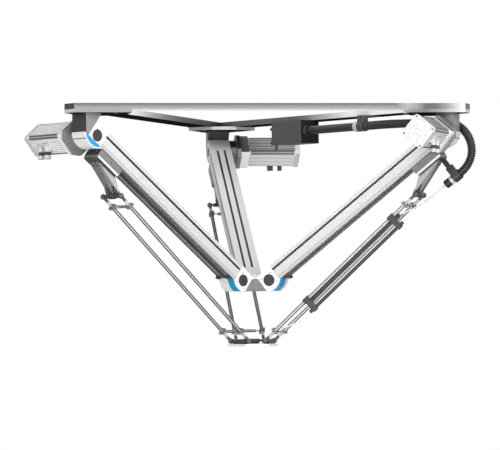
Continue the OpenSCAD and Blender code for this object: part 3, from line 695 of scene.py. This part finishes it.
# single pieces with painted light and shade of their own: a darker upper face on two motors, a lighter lower
# face on the rear motor, and a narrower dark rim on the rear rods
paintedLightByPiece = {
    "servo_motor_rear": {
        "shadedFaceWay": (0, -0.774, 0.633), "shadedFaceTone": (0.085, 0.085, 0.088),
        "patches": [{"facing": (0, -0.633, -0.774), "tone": 0.96}],
    },
    "servo_motor_right": {"shadedFaceWay": (0.548, -0.317, 0.774), "shadedFaceTone": (0.12, 0.12, 0.122)},
    "rods_rear": {"rimFrom": 0.27, "rimTo": 0.42},
}


def dress(node, material):
    piece = cadNodes[node]
    piece.data.materials.clear()
    piece.data.materials.append(material)


for node, look in finishes.items():
    dress(node, finish(node, look))
for node, other in sharedFinish.items():
    dress(node, cadNodes[other].data.materials[0])
for family, look in armFinishes.items():
    turned = family in ("axis_profile", "carriage")
    shared = None
    for arm in (rear, left, right):
        node = family + "_" + armName[arm]
        if turned:
            dress(node, finish(node, {**look, "place": axisPlace(arm).inverted()}))
        elif node in tailBlue:
            blue = {"within": {"Y": tailBlue[node], "Z": (-0.2, -0.0222)}, "tone": coverBlue}
            dress(node, finish(node, {**look, "place": axisPlace(arm).inverted(), "patches": [blue]}))
        elif node in paintedLightByPiece:
            dress(node, finish(node, {**look, **paintedLightByPiece[node]}))
        else:
            shared = shared or finish(family, look)
            dress(node, shared)
print("finishes set")

# ---- small steel screws ----


def newPiece(name, mesh, material, body, smooth=35):
    bmesh.ops.recalc_face_normals(mesh, faces=mesh.faces)
    data = bpy.data.meshes.new(name)
    mesh.to_mesh(data)
    mesh.free()
    data.materials.append(material)
    data.shade_smooth()
    data.set_sharp_from_angle(angle=math.radians(smooth))
    piece = bpy.data.objects.new(name, data)
    scene.collection.objects.link(piece)
    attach(piece, body)
    return piece


def addScrew(mesh, spot, radius, height):
    # socket head that stands on the spot and points along its Z
    made = bmesh.ops.create_cone(
        mesh, cap_ends=True, segments=12, radius1=radius, radius2=radius, depth=height,
        matrix=spot @ Matrix.Translation((0, 0, height / 2)),
    )
    up = (spot.to_3x3() @ Vector((0, 0, 1))).normalized()
    centre = spot @ Vector((0, 0, height))
    faces = list({f for v in made["verts"] for f in v.link_faces})
    top = max(faces, key=lambda f: (f.calc_center_median() - spot.translation).dot(up))
    bmesh.ops.inset_region(
        mesh, faces=[top], thickness=radius * 0.16, depth=radius * 0.06, use_even_offset=True,
    )
    bmesh.ops.inset_region(mesh, faces=[top], thickness=radius * 0.30, depth=0)
    for k, corner in enumerate(top.verts):
        reach = 0.52 if k % 2 else 0.45
        offset = corner.co - centre - up * (corner.co - centre).dot(up)
        corner.co = centre + up * (corner.co - centre).dot(up) + offset.normalized() * radius * reach
    sunk = bmesh.ops.extrude_discrete_faces(mesh, faces=[top])["faces"]
    bmesh.ops.translate(mesh, verts=list(sunk[0].verts), vec=-up * height * 0.5)


screws = {
    "headRing": 0.028, "headRadius": 0.0022, "headHeight": 0.0009,
    "carriageSpots": ((0.686, -0.032), (0.690, -0.042), (0.704, -0.036), (0.740, -0.034)),
    "carriageSide": 0.0398, "carriageRadius": 0.0021, "carriageHeight": 0.0008,
    "coverSpot": 0.0355, "motorReach": 0.305, "sunk": 0.0068, "coverRadius": 0.0052, "coverHeight": 0.0064,
}
steelLook = {
    "tone": (0.30, 0.30, 0.31), "soilTone": (0.14, 0.14, 0.14), "edgeTone": (0.75, 0.75, 0.75),
    "roughness": (0.2, 0.34), "metallic": 0.9, "skin": 900.0, "bump": 0.06,
}
screwSteel = finish("screwSteel", steelLook)
oxideBlack = finish("oxideBlack", {
    **steelLook, "tone": (0.012, 0.012, 0.012), "soilTone": (0.04, 0.04, 0.04), "metallic": 0.0, "wear": 0.1,
    "roughness": (0.5, 0.7),
})
blackSteel = finish("blackSteel", {
    **steelLook, "tone": (0.035, 0.035, 0.037), "soilTone": (0.08, 0.08, 0.08), "metallic": 0.4,
})


def headScrews(plan):
    mesh = bmesh.new()
    for arm in (rear, left, right):
        for along, facing in ((axisPlan["pulleyGap"], (1,)), (0.0, (1, -1))):
            for side in facing:
                for corner in range(4):
                    angle = math.radians(45 + 90 * corner)
                    spot = Matrix.Translation((
                        along + plan["headRing"] * math.cos(angle),
                        side * (axisPlan["halfWidth"] - 0.0002),
                        plan["headRing"] * math.sin(angle),
                    ))
                    where = axisPlace(arm) @ spot @ across(side)
                    addScrew(mesh, where, plan["headRadius"], plan["headHeight"])
    return newPiece("headScrews", mesh, screwSteel, "axes")


def motorScrews(plan):
    mesh = bmesh.new()
    for arm in (rear, left, right):
        for x in (-1, 1):
            for z in (-1, 1):
                spot = Matrix.Translation((
                    x * plan["coverSpot"], -plan["motorReach"] + plan["sunk"], z * plan["coverSpot"],
                ))
                where = motorPlace(arm) @ spot @ across(-1)
                addScrew(mesh, where, plan["coverRadius"], plan["coverHeight"])
    return newPiece("motorScrews", mesh, oxideBlack, "axes")


def carriageScrews(arm, plan):
    mesh = bmesh.new()
    for side in (-1, 1):
        for along, height in plan["carriageSpots"]:
            spot = Matrix.Translation((along, side * plan["carriageSide"], height))
            where = axisPlace(arm) @ spot @ across(side)
            addScrew(mesh, where, plan["carriageRadius"], plan["carriageHeight"])
    return newPiece("carriageScrews_" + armName[arm], mesh, blackSteel, "carriage_" + armName[arm])


headScrews(screws)
motorScrews(screws)
for arm in (rear, left, right):
    carriageScrews(arm, screws)
print("screws made")

# ---- shapes shared by the small parts ----


def addBox(mesh, spot, low, high):
    size = [b - a for a, b in zip(low, high)]
    middle = [(a + b) / 2 for a, b in zip(low, high)]
    stretch = Matrix.Diagonal((*size, 1))
    return bmesh.ops.create_cube(mesh, size=1, matrix=spot @ Matrix.Translation(middle) @ stretch)


def addBar(mesh, spot, radius, length, segments=20):
    return bmesh.ops.create_cone(
        mesh, cap_ends=True, segments=segments, radius1=radius, radius2=radius, depth=length,
        matrix=spot @ Matrix.Translation((0, 0, length / 2)),
    )


def addRing(mesh, spot, inner, outer, length, segments=28):
    corners = [(inner, 0), (outer, 0), (outer, length), (inner, length)]
    verts = [mesh.verts.new(spot @ Vector((r, 0, z))) for r, z in corners]
    edges = [mesh.edges.new((verts[k], verts[(k + 1) % 4])) for k in range(4)]
    bmesh.ops.spin(
        mesh, geom=verts + edges, cent=spot.translation, axis=spot.to_3x3() @ Vector((0, 0, 1)),
        dvec=(0, 0, 0), angle=math.tau, steps=segments, use_merge=True,
    )


alongX = Matrix.Rotation(math.radians(90), 4, "Y")

# ---- energy hose ----

hosePlan = {
    "beamSide": 0.302, "height": -0.0585, "start": 0.030, "offset": 0.062, "bend": 0.150,
    "loop": 0.098, "loopRadius": 0.698, "tip": 0.692, "tailDepth": -0.1264,
    "tailFrom": 0.7652, "bendFrom": 0.660,
    "pitch": 0.0072, "crest": 0.0154, "root": 0.0127, "ridgesFrom": 0.316, "segments": 24,
    "plain": 0.0152, "neck": 0.013, "ribs": 4, "ribPitch": 0.0058, "ribCrest": 0.0154, "ribRoot": 0.0132,
    "collarFrom": 0.728, "collarTo": 0.716, "collarInner": 0.0128, "collarOuter": 0.0152,
    "strapLow": (0.7348, 0.0451, -0.084), "strapHigh": (0.7532, 0.0458, -0.050),
    "bandAt": -0.2428, "bandInner": 0.0156, "bandOuter": 0.0196, "bandWidth": 0.0180,
}
hoseBlack = {
    "tone": (0.008, 0.008, 0.0085), "soilTone": (0.030, 0.030, 0.030), "edgeTone": (0.09, 0.09, 0.09),
    "roughness": (0.36, 0.5), "skin": 500.0, "bump": 0.12, "streak": 0.3,
    # painted shade: darker towards the outline
    "wear": 0.4, "rimShadeTone": (0.012, 0.012, 0.012),
}
collarSteel = {
    "tone": (0.55, 0.55, 0.56), "soilTone": (0.34, 0.34, 0.34), "edgeTone": (0.8, 0.8, 0.8),
    "roughness": (0.28, 0.42), "metallic": 0.2, "skin": 600.0, "bump": 0.1,
}


def hoseLine(plan):
    # corners of the run in the right arm's frame: along the beam, round to the axis, down the loop
    points = []
    # the beam runs at 30 degrees to the arm
    cosine, sine = math.cos(math.radians(30)), 0.5
    cross = (plan["offset"] - plan["beamSide"] * math.sin(math.radians(60))) / math.cos(math.radians(60))
    reach = plan["bend"] * math.tan(math.radians(15))
    bendStart = cross + reach
    bendEnd = plan["beamSide"] * sine - cross * cosine + reach
    for k in range(41):
        m = plan["start"] + (bendStart - plan["start"]) * k / 40
        points.append(Vector((
            plan["beamSide"] * sine - m * cosine, plan["beamSide"] * cosine + m * sine, plan["height"],
        )))
    for k in range(1, 11):
        remaining = math.radians(30 - 3 * k)
        points.append(Vector((
            bendEnd - plan["bend"] * math.sin(remaining),
            plan["offset"] + plan["bend"] * (1 - math.cos(remaining)), plan["height"],
        )))
    centreHeight = plan["height"] - plan["loop"]
    sweep = 180 - axisPlan["slope"]
    for k in range(33):
        a = math.radians(90 - k * sweep / 32)
        points.append(Vector((
            plan["loopRadius"] + plan["loop"] * math.cos(a), plan["offset"],
            centreHeight + plan["loop"] * math.sin(a),
        )))
    tail = plan["tip"] - plan["tailFrom"]
    for k in range(1, 9):
        radius, height = axisPoint(plan["tailFrom"] + tail * k / 8, plan["tailDepth"])
        points.append(Vector((radius, plan["offset"], height)))
    return points


def walkLine(points, steps):
    # place and heading at each distance in steps, all in rising order
    lengths = [0.0]
    for a, b in zip(points, points[1:]):
        lengths.append(lengths[-1] + (b - a).length)
    found = []
    k = 0
    for distance in steps:
        while k < len(points) - 2 and lengths[k + 1] < distance:
            k += 1
        part = (distance - lengths[k]) / (lengths[k + 1] - lengths[k])
        before = points[max(k - 1, 0)]
        after = points[min(k + 2, len(points) - 1)]
        found.append((points[k].lerp(points[k + 1], part), (after - before).normalized()))
    return found, lengths[-1]


def makeHose(plan):
    points = hoseLine(plan)
    total = walkLine(points, [0.0])[1]
    tipLength = lambda along: total - (along - plan["tip"])
    radii = [(0.0, plan["plain"]), (plan["ridgesFrom"] - 0.002, plan["plain"])]
    distance = plan["ridgesFrom"]
    while distance < tipLength(plan["collarFrom"]) - plan["pitch"]:
        for share, radius in ((0.0, "root"), (0.35, "root"), (0.5, "crest"), (0.85, "crest")):
            radii.append((distance + share * plan["pitch"], plan[radius]))
        distance += plan["pitch"]
    radii += [(tipLength(plan["collarFrom"]), plan["neck"]), (tipLength(plan["collarTo"]), plan["neck"])]
    distance = tipLength(plan["collarTo"]) + 0.0004
    for _ in range(plan["ribs"]):
        for share, radius in ((0.0, "ribCrest"), (0.6, "ribCrest"), (0.7, "ribRoot"), (0.95, "ribRoot")):
            radii.append((distance + share * plan["ribPitch"], plan[radius]))
        distance += plan["ribPitch"]
    radii.append((total, plan["ribRoot"]))
    found, total = walkLine(points, [r[0] for r in radii])
    mesh = bmesh.new()
    turn = armTurn(right)
    rings = []
    for (place, ahead), (_, radius) in zip(found, radii):
        up = Vector((0, 1, 0)).cross(ahead).normalized()
        side = ahead.cross(up)
        ring = []
        for k in range(plan["segments"]):
            a = math.tau * k / plan["segments"]
            ring.append(mesh.verts.new(turn @ (place + radius * (math.cos(a) * up + math.sin(a) * side))))
        rings.append(ring)
    for one, two in zip(rings, rings[1:]):
        for k in range(plan["segments"]):
            n = (k + 1) % plan["segments"]
            mesh.faces.new((one[k], one[n], two[n], two[k]))
    mesh.faces.new(rings[0])
    mesh.faces.new(list(reversed(rings[-1])))
    bmesh.ops.recalc_face_normals(mesh, faces=mesh.faces)
    data = bpy.data.meshes.new("corrugatedHose")
    mesh.to_mesh(data)
    mesh.free()
    data.materials.append(finish("hoseBlack", hoseBlack))
    data.shade_smooth()
    data.set_sharp_from_angle(angle=math.radians(50))
    piece = bpy.data.objects.new("corrugatedHose", data)
    scene.collection.objects.link(piece)
    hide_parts("energy_hose")
    radius, height = axisPoint(plan["tailFrom"], plan["tailDepth"])
    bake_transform(piece)


makeHose(hosePlan)
dress("energy_hose", bpy.data.materials["hoseBlack"])
collarLook = finish("collarSteel", collarSteel)


def hoseTrim(plan):
    # the bare collar at the hose's end and the band beside the hanger
    mesh = bmesh.new()
    tip = Matrix.Translation((plan["collarTo"], plan["offset"], plan["tailDepth"]))
    spot = axisPlace(right) @ tip @ alongX
    addRing(mesh, spot, plan["collarInner"], plan["collarOuter"], plan["collarFrom"] - plan["collarTo"])
    addBox(mesh, axisPlace(right), plan["strapLow"], plan["strapHigh"])
    newPiece("hoseCollar", mesh, collarLook, "carriage_right")
    mesh = bmesh.new()
    spot = beamTurn(1) @ Matrix.Translation((plan["beamSide"], plan["bandAt"], plan["height"])) @ across(1)
    addRing(mesh, spot, plan["bandInner"], plan["bandOuter"], plan["bandWidth"])
    newPiece("hangerBand", mesh, collarLook, "axes")


hoseTrim(hosePlan)
print("hose made")

# ---- carriage flanges, pads and bracket bolts ----

flangePlan = {
    "low": 0.6556, "high": 0.7626, "top": -0.0493, "bottom": -0.0575, "inner": 0.0399, "outer": 0.0403,
    "padHalf": 0.034, "padLow": -0.0620, "padHigh": -0.0573,
    "fittings": ((0.7640, -0.020, -0.036), (0.7640, 0.020, -0.036)),
    "fittingRadius": 0.0042, "fittingLength": 0.006,
    "backEnd": (0.7586, -0.0575), "backSlope": math.atan2(0.0475, 0.1406),
    "backSpots": (0.016, 0.030), "backGap": 0.011, "boltRadius": 0.0036, "boltLength": 0.003,
}
trimLook = finish("pressedEdge", {
    "tone": (0.74, 0.74, 0.745), "soilTone": (0.5, 0.5, 0.5), "edgeTone": (0.85, 0.85, 0.85),
    "roughness": (0.3, 0.42), "metallic": 0.1, "skin": 600.0, "bump": 0.06, "streak": 0.15,
})


def carriageTrim(arm, plan):
    body = "carriage_" + armName[arm]
    here = axisPlace(arm)
    mesh = bmesh.new()
    for side in (-1, 1):
        face = sorted((side * plan["inner"], side * plan["outer"]))
        addBox(mesh, here, (plan["low"], face[0], plan["bottom"]), (plan["high"], face[1], plan["top"]))
    newPiece("flangeEdge_" + armName[arm], mesh, trimLook, body)
    mesh = bmesh.new()
    half = plan["padHalf"]
    padStart = (plan["low"] + 0.004, -half, plan["padLow"])
    padEnd = (plan["high"] - 0.002, half, plan["padHigh"])
    addBox(mesh, here, padStart, padEnd)
    for spot in plan["fittings"]:
        where = here @ Matrix.Translation(spot) @ alongX
        addBar(mesh, where, plan["fittingRadius"], plan["fittingLength"], 14)
    slope = plan["backSlope"]
    endAlong, endHeight = plan["backEnd"]
    for offset in (-plan["backGap"], plan["backGap"]):
        for down in plan["backSpots"]:
            spot = Matrix.Translation((
                endAlong - down * math.cos(slope), offset, endHeight - down * math.sin(slope),
            ))
            facing = Matrix.Rotation(math.radians(180) - slope, 4, "Y")
            addBar(mesh, here @ spot @ facing, plan["boltRadius"], plan["boltLength"], 14)
    newPiece("carriageFittings_" + armName[arm], mesh, blackSteel, body)


for arm in (rear, left, right):
    carriageTrim(arm, flangePlan)
print("carriages trimmed")

# ---- bracket cheeks ----

cheekPlan = {
    "half": 0.0285, "light": [(0.7570, -0.0570), (0.6570, -0.0570), (0.6075, -0.0930), (0.6120, -0.0935)],
    "dark": [(0.6420, -0.0880), (0.6140, -0.0850), (0.6002, -0.0935), (0.6165, -0.1040)],
}
cheekLook = finish("bracketCheek", {
    **armFinishes["carriage_bracket"], "tone": (0.40, 0.40, 0.405), "soilTone": (0.30, 0.30, 0.30),
})


def addPrism(mesh, spot, outline, half):
    # the outline drawn in X and Z, carried across from side to side
    face = mesh.faces.new([mesh.verts.new(spot @ Vector((x, -half, z))) for x, z in outline])
    grown = bmesh.ops.extrude_face_region(mesh, geom=[face])["geom"]
    shift = spot.to_3x3() @ Vector((0, 2 * half, 0))
    bmesh.ops.translate(mesh, verts=[v for v in grown if isinstance(v, bmesh.types.BMVert)], vec=shift)


def bracketCheeks(arm, plan):
    body = "carriage_" + armName[arm]
    kinds = (
        ("light", cheekLook, plan["half"], "silver"),
        ("dark", blackSteel, plan["half"] - 0.0006, "black_plastic"),
    )
    for name, look, half, slotName in kinds:
        mesh = bmesh.new()
        addPrism(mesh, axisPlace(arm), plan[name], half)
        newPiece(name + "Cheeks_" + armName[arm], mesh, look, body, smooth=20)


for arm in (rear, left, right):
    bracketCheeks(arm, cheekPlan)
print("brackets filled out")

# ---- motor corner strips ----

motorPlan = {"flat": 0.0524, "from": -0.283, "to": -0.116, "halfWidth": 0.0085, "ridgeHalf": 0.0012}
stripLook = finish("motorStrip", {
    "tone": (0.075, 0.075, 0.078), "soilTone": (0.14, 0.14, 0.14), "edgeTone": (0.4, 0.4, 0.4),
    "roughness": (0.34, 0.48), "skin": 500.0, "bump": 0.1,
})


def motorStrips(plan):
    dark = bmesh.new()
    pale = bmesh.new()
    for arm in (rear, left, right):
        for corner in range(4):
            here = motorPlace(arm) @ Matrix.Rotation(math.radians(45 + 90 * corner), 4, "Y")
            flat, low, high = plan["flat"], plan["from"], plan["to"]
            half, ridge = plan["halfWidth"], plan["ridgeHalf"]
            addBox(dark, here, (flat - 0.0004, low, -half), (flat + 0.0009, high, half))
            addBox(pale, here, (flat, low + 0.002, -ridge), (flat + 0.0016, high - 0.002, ridge))
    newPiece("motorStrips", dark, stripLook, "axes")
    newPiece("motorStripRidges", pale, collarLook, "axes")


motorStrips(motorPlan)


connectorPlan = {
    "plugs": ((-0.203, 0.0120), (-0.240, 0.0090)), "side": 0.037, "depth": 0.008, "inside": 0.0004,
    "rings": ((0.040, 0.0006, 0.0125), (0.024, 0.0004, 0.0040)),
}


def connectorRings(plan):
    # bright coupling rings on the round connectors, which hang straight down
    down = Matrix.Rotation(math.radians(180 - axisPlan["motorTurn"]), 4, "Y")
    mesh = bmesh.new()
    for arm in (rear, left, right):
        for along, radius in plan["plugs"]:
            spot = motorPlace(arm) @ Matrix.Translation((plan["side"], along, plan["depth"])) @ down
            for start, thick, length in plan["rings"]:
                where = spot @ Matrix.Translation((0, 0, start))
                addRing(mesh, where, radius - plan["inside"], radius + thick, length)
    newPiece("connectorRings", mesh, collarLook, "axes")


connectorRings(connectorPlan)


seamPlan = {"end": 0.8366, "top": 0.037, "thick": 0.0029, "half": 0.0398, "low": -0.0225, "high": -0.0032}


def headSeams(plan):
    # strips that close the slanting clearance cut in each motor-end block
    mesh = bmesh.new()
    for arm in (rear, left, right):
        corner = Matrix.Translation((plan["end"], 0, plan["top"]))
        spot = axisPlace(arm) @ corner @ Matrix.Rotation(math.radians(45), 4, "Y")
        thick, half = plan["thick"], plan["half"]
        addBox(mesh, spot, (-thick, -half, plan["low"]), (thick, half, plan["high"]))
    newPiece("headSeams", mesh, cadNodes["drive_head_left"].data.materials[0], "axes")


headSeams(seamPlan)

# ---- rod collars and springs ----

rodPlan = {
    "halfGap": 0.05, "collarFrom": 0.0235, "collarTo": 0.0415, "collarRadius": 0.0058,
    "link": 0.052, "coils": 16, "coilFrom": -0.0248, "coilStep": 0.0032, "coilInner": 0.0046,
    "coilOuter": 0.0058, "coilWidth": 0.0017,
}


def rodTrim(arm, plan):
    body = "rods_" + armName[arm]
    here = rodPlace(arm)
    mesh = bmesh.new()
    for side in (-1, 1):
        for start in (plan["collarFrom"], rodLength - plan["collarTo"]):
            spot = Matrix.Translation((start, side * plan["halfGap"], 0)) @ alongX
            addBar(mesh, here @ spot, plan["collarRadius"], plan["collarTo"] - plan["collarFrom"], 6)
    newPiece("rodCollars_" + armName[arm], mesh, collarLook, body, smooth=20)
    mesh = bmesh.new()
    for start in (plan["link"], rodLength - plan["link"]):
        for k in range(plan["coils"]):
            spot = Matrix.Translation((start, plan["coilFrom"] + k * plan["coilStep"], 0)) @ across(1)
            addRing(mesh, here @ spot, plan["coilInner"], plan["coilOuter"], plan["coilWidth"], 16)
    newPiece("springCoils_" + armName[arm], mesh, screwSteel, body)


for arm in (rear, left, right):
    rodTrim(arm, rodPlan)
print("rods trimmed")

# ---- hose box screws ----


boxPlan = {
    "knobSide": 0.280, "knobEnd": 0.2058, "knobHeights": (-0.046, -0.096),
    "knobs": ((0.0062, 0.0110), (0.0044, 0.0130)),
    "screwSide": 0.2722, "screwHeights": (-0.030, -0.094), "screwSpots": (0.052, 0.196),
    "screwRadius": 0.0030, "screwHeight": 0.0016,
    "latch": (0.284, 0.194, -0.126), "latchRadius": 0.0048, "latchLength": 0.0222,
}


def boxScrews(plan):
    mesh = bmesh.new()
    here = beamTurn(1)
    for height in plan["knobHeights"]:
        spot = here @ Matrix.Translation((plan["knobSide"], plan["knobEnd"], height)) @ across(1)
        for radius, length in plan["knobs"]:
            addBar(mesh, spot, radius, length, 18)
    outwards = Matrix.Rotation(math.radians(-90), 4, "Y")
    for height in plan["screwHeights"]:
        for along in plan["screwSpots"]:
            spot = Matrix.Translation((plan["screwSide"], along, height)) @ outwards
            addScrew(mesh, here @ spot, plan["screwRadius"], plan["screwHeight"])
    addBar(mesh, here @ Matrix.Translation(plan["latch"]), plan["latchRadius"], plan["latchLength"], 18)
    newPiece("boxScrews", mesh, blackSteel, "axes")


boxScrews(boxPlan)
print("small parts made")
